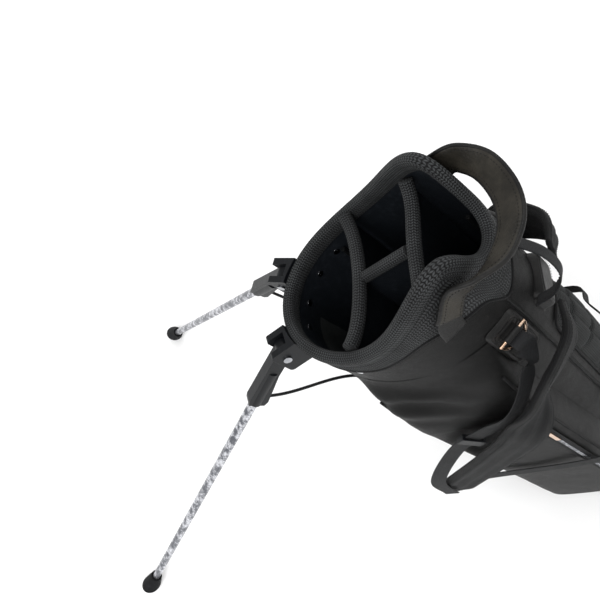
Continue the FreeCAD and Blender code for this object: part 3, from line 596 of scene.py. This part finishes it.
SLOT_LOOKS = {
    "softshell": SHELL, "lining": LINING, "spacer_mesh": MESH, "strap_mesh": PAD, "webbing": WEBBING,
    "handle_leather": LEATHER_DARK, "moulding": PLASTIC, "tread_rubber": RUBBER, "tube_alloy": ALLOY,
    "pin_steel": STEEL, "rod_steel": WIRE, "stay_plastic": PLASTIC_BLACK, "rivet_chrome": CHROME,
    "ring_gold": GOLD,
}
for part in frame["record"]["subparts"]:
    node = frame["nodes"][part["node"]]
    node.data.materials.clear()
    node.data.materials.append(SLOT_LOOKS[part["material_slot"]])
for name in ("base_cup", "rod_guide_lower", "rod_guide_upper", "push_shoe", "foot_plate"):
    frame["nodes"][name].data.materials[0] = PLASTIC_BLACK

# ---------------------------------------------------------------- body, lining and mouth

AROUND = np.linspace(0, 2 * math.pi, 240, endpoint=False)
SIDES = (("left", 1), ("right", -1))


def knit_relief(height, pitch_u=0.36, pitch_v=0.3):
    """The same loops as the knitted look, in millimetres of real relief."""

    def relief(u, v):
        lean = np.abs((v / pitch_v + 1) % 2 - 1) * pitch_v
        loops = abs(np.sin(math.pi * u / pitch_u + lean * math.pi / pitch_v * 0.55)) ** 0.7
        return height * loops * abs(np.sin(math.pi * v / pitch_v)) ** 0.35

    return relief


def make_body():
    """The sewn body, softly creased, with its four lines of piping."""
    levels = np.linspace(0, 1, 150)[:, None]
    angle = AROUND[None, :]
    top = rim_top(-MOUTH_Y * np.cos(angle)) - 16
    low = 86
    z = low + (top - low) * levels
    side = np.abs(np.sin(angle))
    flat = wall(np.broadcast_to(angle, z.shape), z)
    soft = 0.9 * waves(flat, 150, 3) + 0.35 * waves(flat * [1, 1, 2.2], 46, 4)
    soft += 1.6 * side * bump(z, 700, 26) * waves(flat * [0.4, 0.4, 1], 60, 8)
    out = soft * step(top - z, 5, 60) * step(z, 90, 150)
    grid = wall(np.broadcast_to(angle, z.shape), z, out)
    body = surface("visual_body", grid[::-1], SHELL, wrap_j=True)
    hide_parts("body_shell")
    for turn in (-28, 28, -152, 152):
        a = math.radians(turn)
        heights = np.linspace(96, float(rim_top(-MOUTH_Y * math.cos(a))) - 34, 220)
        seam = wall(a, heights, 0.6)
        cord_mesh(f"piping_{turn}", seam, 1.5, BINDING, sides=8)
        out_way = wall(a, heights, 1.0) - wall(a, heights, 0.0)
        for k, shift in enumerate((-0.028, 0.028)):
            stitches(f"piping_thread_{turn}_{k}", wall(a + shift, heights, 0.9), THREAD_DARK, normal=out_way)


def make_lining():
    """The lining of walls and floor, and the lighter panel at the front."""
    levels = np.linspace(0, 1, 90)[:, None]
    angle = AROUND[None, ::-1]
    top = rim_top(-134 * np.cos(angle)) - 12
    low = np.maximum(27, (18 + 51.5 * np.cos(angle)) / LEAN_COS)
    z = low + (top - low) * levels
    sizes = lining_sizes(z)
    flat = wall(np.broadcast_to(angle, z.shape), z, 0, sizes)
    creases = 1.5 * waves(flat, 120, 11) + 0.6 * waves(flat * [1, 1, 3], 42, 12)
    grid = wall(np.broadcast_to(angle, z.shape), z, creases * step(top - z, 60, 190) - 0.3, sizes)
    lining = surface("visual_lining", grid[::-1], LINING, wrap_j=True)
    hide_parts("top_collar")
    angles = np.radians(np.linspace(-4, 38, 40))[None, :]
    z = np.linspace(470, 748, 60)[:, None]
    sizes = lining_sizes(z, 1.8)
    z, angles = np.broadcast_arrays(z, angles)
    surface("inner_panel", wall(angles, z, 0, sizes), LINING_GREY)
    ring = np.stack([np.sin(AROUND[::4]), -np.cos(AROUND[::4])], 1)[:, None]
    spread = ring * np.linspace(0.02, 1, 14)[None, :, None] * [88, 100]
    low = np.maximum(28, (18 - 0.5 * spread[..., 1:]) / LEAN_COS)
    floor = np.concatenate([spread, low], -1)
    surface("lining_floor", floor, LINING, wrap_i=True)


def mouth_point(angle, half_x, half_y, drop=0.0):
    """A point on an oval at the mouth, a drop below its edge."""
    y = -half_y * np.cos(angle)
    return np.stack([half_x * np.sin(angle), y, rim_top(np.clip(y, -143, 143)) - drop], -1)


def make_rim():
    """The padded mesh roll round the mouth, and the mesh skirt below it outside."""
    turns = np.linspace(0, 2 * math.pi, 900, endpoint=False)
    half_x, half_y = 100.2, 137.2
    path = mouth_point(turns, half_x, half_y, 8.5)
    outward = np.stack([np.sin(turns) / half_x, -np.cos(turns) / half_y, np.zeros_like(turns)], 1)
    outward /= np.linalg.norm(outward, axis=1, keepdims=True)
    along = np.roll(path, -1, 0) - np.roll(path, 1, 0)
    along /= np.linalg.norm(along, axis=1, keepdims=True)
    up = np.cross(outward, along)
    up *= np.sign(up[:, 2:3])
    outline = section(15.5, 17.5, 64, 2.6)
    outline[:, 1] = np.where(outline[:, 1] < 0, outline[:, 1] * 2.1, outline[:, 1])
    outline[:, 0] *= np.where(outline[:, 1] < -9, 0.86, 1.0)
    grid = path[:, None] + outward[:, None] * outline[None, :, :1] + up[:, None] * outline[None, :, 1:]
    roll = surface("visual_rim", grid[:, ::-1], MESH, wrap_i=True, wrap_j=True, relief=knit_relief(0.5))
    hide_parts("rim_cushion")

    depth = 16 + 10 * step(abs(turns - math.pi), 2.6, 1.2) + 46 * bump(abs(turns - math.pi), 0.62, 0.34)
    depth += 22 * bump(abs(turns - math.pi), 0.95, 0.28)
    across = np.linspace(0, 1, 60)
    top = mouth_point(turns, MOUTH_X, MOUTH_Y, 12)[:, 2]
    z = top[:, None] - 8 - depth[:, None] * across[None, :]
    puff = 2.6 * np.sin(math.pi * np.clip(across * 0.9 + 0.12, 0, 1)) ** 0.5
    angles = np.broadcast_to(turns[:, None], z.shape)
    skirt = wall(angles, z, np.broadcast_to(0.5 + puff, z.shape))
    surface("rim_skirt", skirt, MESH, wrap_i=True, relief=knit_relief(0.35))
    edge = wall(turns, z[:, -1], 1.1)
    cord_mesh("skirt_binding", edge, 1.7, BINDING, sides=8, closed=True)
    way = wall(turns, z[:, -1], 2.0) - wall(turns, z[:, -1], 1.0)
    stitches("skirt_thread", wall(turns, z[:, -1] - 4, 1.0), THREAD_DARK, normal=way)


def divider_y(x, end_y, bow):
    """Front-to-back place of a divider, a round arc bowed from its ends."""
    sign = 1 if bow > 0 else -1
    half = 124.5
    radius = (half * half + bow * bow) / (2 * abs(bow))
    return end_y + bow - sign * radius + sign * np.sqrt(radius**2 - x**2)


def make_dividers():
    """The two curved dividers and the straight one between them, each with its padded roll."""
    for word, end_y, bow, top, lift in (("front", -50, 24, 826, 9), ("back", 80, -20, 850, 22)):
        levels = np.linspace(150, top - 14, 80)[:, None]
        share = lining_share(levels)
        reach = (91 + 5.6 * share) * np.sqrt(1 - (end_y / (103 + 29 * share)) ** 2) - 1
        x = reach * np.linspace(-1, 1, 90)[None, :]
        y = divider_y(x, end_y, bow)
        z = np.broadcast_to(levels, x.shape)
        flat = np.stack([x, y, z], -1)
        y = y + 2.2 * waves(flat, 130, 21 + int(top)) * step(top - z, 20, 120)
        panel = surface(f"visual_panel_{word}", np.stack([x, y, z], -1), LINING)
        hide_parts(f"divider_{word}_panel")
        reach = 96 * math.sqrt(1 - (end_y / 133) ** 2) - 2
        x = np.linspace(-reach, reach, 150)
        rise = lift * (abs(x) / reach) ** 5
        path = np.stack([x, divider_y(x, end_y, bow), top - 8 + rise], 1)
        guide = np.tile([0.0, 1.0, 0.0], (len(path), 1))
        grid = sweep(path, guide, section(16.4, 17.5, 52, 2.3))
        roll = surface(f"visual_roll_{word}", grid, MESH, wrap_j=True, caps=True, relief=knit_relief(0.45))
        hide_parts(f"divider_{word}_roll")
    start = np.array([0, -26 + 7.5, 818.0])  # from the front divider's middle
    end = np.array([0, 60 - 7.5, 842.0])  # to the back divider's
    path = start + (end - start) * np.linspace(0, 1, 60)[:, None]
    grid = sweep(path, np.tile([1.0, 0, 0], (60, 1)), section(14, 15, 52, 2.3))
    roll = surface("visual_roll_centre", grid, MESH, wrap_j=True, caps=True, relief=knit_relief(0.45))
    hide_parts("divider_centre_roll")
    y, z = np.meshgrid(np.linspace(-25, 59, 40), np.linspace(150, 822, 80), indexing="xy")
    z = z + (y + 25) * 0.25 * step(z, 600, 822)
    flat = np.stack([np.zeros_like(y), y, z], -1)
    sway = np.array([2.0, 0, 0]) * waves(flat, 120, 33)[..., None]
    panel = surface("visual_panel_centre", flat + sway, LINING)
    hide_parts("divider_centre_panel")


make_body()
make_lining()
make_rim()
make_dividers()

# ---------------------------------------------------------------- handle, patches and straps


def mirrored(points, side):
    """Points given for the left side, on either side."""
    return np.asarray(points, float) * [side, 1, 1]


def make_handle():
    """The leather carry handle, with bound edges, stitches and sewn tabs."""
    route = [(88.5, 88, 836), (78, 109, 862), (73, 132, 868), (56, 156, 864), (28, 170, 858), (0, 174, 855)]
    turns = [(0, 0.2, 1), (0.1, 0.25, 1), (0.45, 0.6, 1), (0.35, 0.94, 0.5), (0.17, 0.98, 0.35), (0, 1, 0.3)]
    points = np.array(route + [(-x, y, z) for x, y, z in reversed(route[:-1])], float)
    turns = np.array(turns + [(-x, y, z) for x, y, z in reversed(turns[:-1])], float)
    rows = smooth_path(np.hstack([points, turns]), 2.5)
    grid = sweep(rows[:, :3], rows[:, 3:], section(31, 6.5, 40, 4.5))
    obj = surface("visual_handle", grid, LEATHER, wrap_j=True, caps=True)
    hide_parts("carry_handle")
    _, side, out = frames(rows[:, :3], rows[:, 3:])
    for sign in (-1, 1):
        edge = rows[:, :3] + side * sign * 15.4
        cord_mesh(f"handle_edge_{sign}", edge, 2.5, LEATHER_DARK, sides=12)
        line = rows[:, :3] + side * sign * 11
        for face in (-1, 1):
            stitches(f"handle_thread_{sign}_{face}", line + out * face * 3.1, THREAD, normal=out * face)
    for sign in (-1, 1):
        tab = [(sign * 90.5, 80, 806), (sign * 90, 86, 832), (sign * 83, 101, 858)]
        turn = [(sign * 0.62, -0.78, 0.1)] * 3
        strap(f"handle_tab_{sign}", tab, turn, 30, 3.2, LEATHER_DARK)


def patch_frame(side):
    """Where a ring patch sits on the body: point, outward normal and tangent."""
    turn = math.radians(49)
    point = np.array([side * MOUTH_X * math.cos(turn), MOUTH_Y * math.sin(turn), 735.0])
    normal = np.array([side * math.cos(turn) / MOUTH_X, math.sin(turn) / MOUTH_Y, 0.0])
    normal /= np.linalg.norm(normal)
    tangent = np.cross(normal, [0, 0, 1.0])
    return point, normal, tangent


def make_patch(word, side):
    """A leather patch with a raised edge, laid on the body's curve."""
    point, normal, tangent = patch_frame(side)
    angle0 = math.atan2(point[0] / MOUTH_X, -point[1] / MOUTH_Y)

    def on_body(p, z, out):
        return wall(angle0 + p / 122.0, z, out)

    p, q = np.meshgrid(np.linspace(-1, 1, 70), np.linspace(-1, 1, 110), indexing="xy")
    round_off = (abs(p) ** 7 + abs(q) ** 9) ** (1 / 8)
    height = 4.2 * (1 - np.clip(round_off, 0, 1) ** 10) + 1.1 * bump(round_off, 0.86, 0.05)
    height -= 0.9 * bump(round_off, 0.74, 0.03) + 0.6 * bump(abs(q - 0.2), 0.32, 0.02) * (abs(p) < 0.7)
    shrink = np.minimum(1.0, 1.0 / np.maximum(round_off, 1e-3))
    grid = on_body(p * shrink * 23, 735 - 26 + q * shrink * 47, 0.4 + height)
    obj = surface(f"visual_patch_{word}", grid if side < 0 else grid[::-1], LEATHER_DARK)
    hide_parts(f"ring_patch_{word}")
    edge = section(2, 2, 260, 8.0)
    line = on_body(edge[:, 0] * 19.5, 709 + edge[:, 1] * 43.5, 4.4)
    stitches(f"patch_thread_{word}", line, THREAD, pitch=3.6, long=2.4, normal=normal)
    base = np.array([point + normal * 10 + tangent * s * 11 for s in np.linspace(-1, 1, 30)])
    turnwise = np.tile([0, 0, 1.0], (30, 1))
    tunnel = sweep(base, turnwise, section(9.5, 9.5, 24))
    surface(f"ring_tunnel_{word}", tunnel, LEATHER_DARK, wrap_j=True, caps=True)
    foot = np.array([point + normal * 6 + tangent * s * 11 for s in np.linspace(-1, 1, 10)])
    block = sweep(foot, turnwise[:10], section(9.4, 9.0, 24, 5))
    surface(f"tunnel_foot_{word}", block, LEATHER_DARK, wrap_j=True, caps=True)


def pad_shape(width, thick):
    """The outline of a strap pad, with three quilted channels."""
    outline = section(width, thick, 60, 3.4)
    outline[:, 1] *= 1 + 0.16 * np.cos(outline[:, 0] / width * 2 * math.pi * 3)
    return outline


def make_straps(word, side):
    """One shoulder strap: pad, webbing folded through the ring, and lower webbing."""
    point, normal, tangent = patch_frame(side)
    route = [(33, 158, 692), (74, 154, 680), (116, 104, 650)]
    route += [(141, 58, 592), (142, -10, 515), (139, -155, 365)]
    route = mirrored(route, side)
    across = [(0, 0.2, 1), (0.2, 0.2, 1), (0.3, 0.3, 1)] + [(0, -0.7, 0.7)] * 3
    rows = smooth_path(np.hstack([route, mirrored(across, side)]), 2.5)

    def narrow(t):
        return 1 - 0.45 * step(t, 0.93, 1.0) - 0.35 * (1 - step(t, 0.0, 0.08))

    grid = sweep(rows[:, :3], rows[:, 3:], pad_shape(54, 11), narrow)
    grid = grid + grid_normals(grid, False, True) * (0.8 * waves(grid, 60, 50 + side))[..., None]
    pad = surface(f"visual_pad_{word}", grid if side > 0 else grid[:, ::-1], PAD, wrap_j=True, caps=True)
    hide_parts(f"strap_pad_{word}")
    _, wide, out = frames(rows[:, :3], rows[:, 3:])
    size = narrow(np.linspace(0, 1, len(rows)))[:, None]
    for sign in (-1, 1):
        edge = rows[:, :3] + wide * sign * 26.4 * size
        cord_mesh(f"pad_binding_{word}_{sign}", edge, 2.2, BINDING, sides=10)
        for face in (-1, 1):
            line = rows[:, :3] + wide * sign * 21.5 * size + out * face * 5.0 * size
            stitches(f"pad_thread_{word}_{sign}_{face}", line, THREAD_DARK, normal=out * face)

    fold = [(0, 4.6, -44), (0, 4.6, -18), (0, 7, -11.4), (0, 13, -11.4), (0, 15.4, -18), (0, 15.4, -34)]
    loop = [point + normal * b + np.array([0, 0, c]) for _, b, c in fold]
    run = [(111, 97, 674), (131, 61, 634), (133, 14, 602)]
    run += [(135, -52, 552), (147.4, -132, 455), (147.4, -152, 372)]
    path = loop + list(mirrored(run, side))
    turns = [tangent * -side] * len(loop)
    lie = [(0.5, -0.6, 0.5), (0.3, -0.6, 0.7)] + [(0, -0.7, 0.7)] * 2 + [(0, -0.75, 0.65)] * 2
    turns += list(mirrored(lie, side))
    replaced = [f"strap_webbing_{word}"]
    obj, rows = strap(f"visual_webbing_{word}", path, turns, 22, 1.9, WEBBING, replaced, step_mm=2.0)

    waist = [(130.6, -150, 366), (129.5, -90, 372), (129.5, 86, 384)]
    waist += [(98, 108, 386), (60, 132, 388), (38, 130, 388)]
    path = mirrored(waist, side)
    level = [(0, 0, 1)] * len(waist)
    replaced = [f"lower_webbing_{word}"]
    obj, _ = strap(f"visual_lower_{word}", path, level, 25, 1.9, WEBBING_DARK, replaced, step_mm=4.0)


def make_loop():
    """The hanging loop of webbing at the back of the mouth."""
    route = [(-6, 147, 786), (10, 172, 770), (26, 180, 750), (36, 166, 733), (40, 142, 724)]
    across = [(0.83, 0, 0.56)] * len(route)
    obj, rows = strap("visual_loop", route, across, 22, 1.9, WEBBING, ["hang_loop"], step_mm=2.0)
    _, side, out = frames(rows[:, :3], rows[:, 3:])
    for sign in (-1, 1):
        stitches(f"loop_thread_{sign}", rows[:, :3] + side * 8.5 * sign + out * 1.0, THREAD, normal=out)


# ---------------------------------------------------------------- pockets, spine and zips


def pocket_face(z):
    """How far out the side pocket stands at a height."""
    return np.interp(z, [118, 132, 150, 600, 662, 734], [96, 108, 120.5, 122, 114, 100])


def make_pocket(word, side):
    """A side pocket and the slack fabric above it, which sags in folds towards the front."""
    z, s = np.meshgrid(np.linspace(122, 742, 240), np.linspace(-1, 1, 110), indexing="ij")
    middle, reach = -2.5, 89
    y = middle + reach * s
    half_x, half_y = half_sizes(z)
    base = half_x * np.sqrt(np.clip(1 - (y / half_y) ** 2, 0, 1))
    edge = (1 - abs(s) ** 7) ** 0.5 * step(z, 124, 150) * (1 - step(z, 690, 742))
    flat = np.stack([base, y, z], -1)
    face = pocket_face(z) + 1.2 * waves(flat, 160, 60) + 3.2 * bump(y, 0, 60) * bump(z, 380, 200)
    sag = np.sin((z + 0.42 * y + 9 * waves(flat, 150, 61)) / 7.6) * bump(z, 662 - 0.3 * y, 46)
    face += 2.6 * sag * step(y, 70, -30) + 4 * bump(y, -70, 40) * bump(z, 640, 60)
    x = base + np.maximum(face - base, 0) * edge + 0.4
    grid = np.stack([side * x, y, z], -1)
    obj = surface(f"visual_pocket_{word}", grid if side < 0 else grid[:, ::-1], SHELL)
    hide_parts(f"side_pocket_{word}")

    heights = np.linspace(162, 540, 200)
    face_x = pocket_face(heights) + 1.0
    tape = np.stack([side * (face_x + 1.5), np.full(200, 62.0), heights], 1)
    band = sweep(tape, np.tile([0, 1.0, 0], (200, 1)), section(18, 1.6, 16, 5))
    piece = surface(f"visual_zip_{word}", band, WEBBING_DARK, wrap_j=True, caps=True)
    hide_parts(f"zip_tape_{word}")
    for sign in (-1, 1):
        line = tape + np.array([side * 0.9, sign * 1.3, 0])
        stitches(f"zip_teeth_{word}_{sign}", line, STEEL, pitch=2.2, long=1.5, thick=1.2, normal=(side, 0, 0))
        line = tape + np.array([side * 0.8, sign * 6.8, 0])
        stitches(f"zip_thread_{word}_{sign}", line, THREAD_DARK, normal=(side, 0, 0))
    inner = 80
    for sign in (-1, 1):
        line_y = middle + inner * sign
        heights = np.linspace(150, 690, 260)
        half_x, half_y = half_sizes(heights)
        base = half_x * np.sqrt(1 - (line_y / half_y) ** 2)
        share = (1 - (inner / reach) ** 7) ** 0.5
        x = base + np.maximum(pocket_face(heights) - base, 0) * share * (1 - step(heights, 690, 742)) + 1.6
        path = np.stack([side * x, np.full(260, line_y), heights], 1)
        cord_mesh(f"pocket_piping_{word}_{sign}", path, 1.8, BINDING, sides=8)


def make_spine():
    """The padded panel on the back: three quilted channels of mesh inside a bound edge."""
    middle, tall = 445, 394
    bottom = middle - tall / 2
    z, s = np.meshgrid(np.linspace(bottom, bottom + tall, 200), np.linspace(-1, 1, 90), indexing="ij")
    x = 35 * s
    half_x, half_y = half_sizes(z)
    base = half_y * np.sqrt(1 - (x / half_x) ** 2)
    t = (z - middle) / (tall / 2)
    round_off = (abs(s) ** 6 + abs(t) ** 12) ** (1 / 8)
    channels = 0.72 + 0.28 * abs(np.sin(1.5 * math.pi * (s + 1))) ** 0.6
    seams = 1 - 0.3 * bump((z - bottom) % 66, 33, 4)
    puff = 17 * (1 - np.clip(round_off, 0, 1) ** 5) * channels * seams
    grid = np.stack([x, base + 0.4 + puff, z], -1)
    obj = surface("visual_spine", grid[:, ::-1], MESH_FINE, relief=knit_relief(0.25, 0.3, 0.26))
    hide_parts("spine_pad")
    outline = section(71, tall, 400, 9.0)
    x, z = outline[:, 0], middle + outline[:, 1]
    half_x, half_y = half_sizes(z)
    edge = np.stack([x, half_y * np.sqrt(1 - (x / half_x) ** 2) + 1.5, z], 1)
    cord_mesh("spine_binding", edge, 2.2, BINDING, sides=8, closed=True)


def make_hub():
    """The leather block that both strap pads are sewn to, with a stitched edge."""
    middle, half, face = 692, 20.5, 147.4
    z, s = np.meshgrid(np.linspace(middle - half, middle + half, 60), np.linspace(-1, 1, 80), indexing="ij")
    x = 30.4 * s
    half_x, half_y = half_sizes(z)
    base = half_y * np.sqrt(1 - (x / half_x) ** 2)
    t = (z - middle) / half
    round_off = (abs(s) ** 8 + abs(t) ** 8) ** (1 / 8)
    puff = (face - base) * (1 - np.clip(round_off, 0, 1) ** 14) - 0.8 * bump(round_off, 0.8, 0.04)
    grid = np.stack([x, base + 0.3 + puff, z], -1)
    obj = surface("visual_hub", grid[:, ::-1], LEATHER_DARK)
    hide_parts("strap_hub")
    outline = section(49, 32, 200, 9.0)
    line = np.stack([outline[:, 0], np.full(200, face + 0.2), middle + outline[:, 1]], 1)
    stitches("hub_thread", line, THREAD, pitch=3.6, long=2.4, normal=(0, 1, 0))


make_handle()
make_spine()
make_hub()
make_loop()
for WORD, SIDE in SIDES:
    make_patch(WORD, SIDE)
    make_straps(WORD, SIDE)
    make_pocket(WORD, SIDE)

# ---------------------------------------------------------------- spring wires


def make_wire(word, side):
    """The springy rod from the guide's top to the leg's arm, shaped for the leg swung to the end of its
    range.
    """
    joint = JOINTS[f"leg_{word}_swing"]
    pivot = Vector(joint["pos_m"])
    hinge = Vector(joint["axis"]).normalized()
    lean = -(MOUTH_Y - HEM_Y) / FLARE
    start = BAG @ Vector((side * 34, -134.1 - 6, 600))
    rise = (BAG.to_3x3() @ Vector((0, lean, 1))).normalized()
    opened = Matrix.Rotation(-math.radians(joint["range_deg"][1]), 3, hinge)
    away = hinge.cross(UP).normalized()
    end = pivot + opened @ (away * -0.0177 - UP * 0.106)
    controls = [start, start + rise * 0.075, end + (start - end).normalized() * 0.05 - rise * 0.01, end]
    path = []
    for t in np.linspace(0, 1, 80):
        a, b, c, d = [(1 - t) ** 3, 3 * t * (1 - t) ** 2, 3 * t * t * (1 - t), t**3]
        path.append(controls[0] * a + controls[1] * b + controls[2] * c + controls[3] * d)
    inverse = BAG.inverted()
    local = [list(inverse @ p) for p in path]
    obj = cord_mesh(f"visual_wire_{word}", local, 2.2, WIRE, body=None, sides=12)
    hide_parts(f"spring_wire_{word}")
    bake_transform(obj)


for WORD, SIDE in SIDES:
    make_wire(WORD, SIDE)

# ---------------------------------------------------------------- studio, light and camera


def make_studio():
    """A white floor, an even white world and three soft lights."""
    mesh = bpy.data.meshes.new("floor")
    size = 30
    corners = [(-size, -size, 0), (size, -size, 0), (size, size, 0), (-size, size, 0)]
    mesh.from_pydata(corners, [], [(0, 1, 2, 3)])
    mesh.materials.append(floor_look())
    floor = bpy.data.objects.new("floor", mesh)
    bpy.context.scene.collection.objects.link(floor)
    studio = bpy.data.worlds.new("studio")
    bpy.context.scene.world = studio
    studio.use_nodes = True
    background = studio.node_tree.nodes["Background"]
    background.inputs["Color"].default_value = (1, 1, 1, 1)
    background.inputs["Strength"].default_value = 0.75
    for name, place, size, power in (
        ("key", (1.6, -1.2, 2.6), 1.6, 55),
        ("fill", (-2.2, -0.6, 1.8), 2.0, 26),
        ("rim", (0.4, 2.4, 2.2), 1.4, 30),
    ):
        light = bpy.data.lights.new(name, "AREA")
        light.size, light.energy = size, power
        lamp = bpy.data.objects.new(name, light)
        lamp.location = place
        lamp.rotation_euler = (Vector((0, -0.3, 0.5)) - Vector(place)).to_track_quat("-Z", "Y").to_euler()
        bpy.context.scene.collection.objects.link(lamp)


def make_camera():
    """The photograph's viewpoint: above and beside the mouth, looking down past the legs."""
    place = Vector((0.40805, -0.34328, 1.47385))
    yaw, pitch, roll = -0.2946, -1.00851, -0.31421
    ahead = Vector((-math.cos(yaw) * math.cos(pitch), math.sin(yaw) * math.cos(pitch), math.sin(pitch)))
    right = ahead.cross(Vector((0, 0, 1))).normalized()
    up = right.cross(ahead)
    right, up = math.cos(roll) * right + math.sin(roll) * up, -math.sin(roll) * right + math.cos(roll) * up
    camera = bpy.data.cameras.new("camera")
    camera.sensor_width = 36
    camera.lens = 44.74542
    camera.shift_x, camera.shift_y = 0.0663333, -0.0998333
    camera.clip_start = 0.02
    obj = bpy.data.objects.new("camera", camera)
    obj.matrix_world = Matrix.Translation(place) @ Matrix((right, up, -ahead)).transposed().to_4x4()
    bpy.context.scene.collection.objects.link(obj)
    bpy.context.scene.camera = obj


make_studio()
make_camera()
bpy.context.scene.view_settings.view_transform = "Standard"
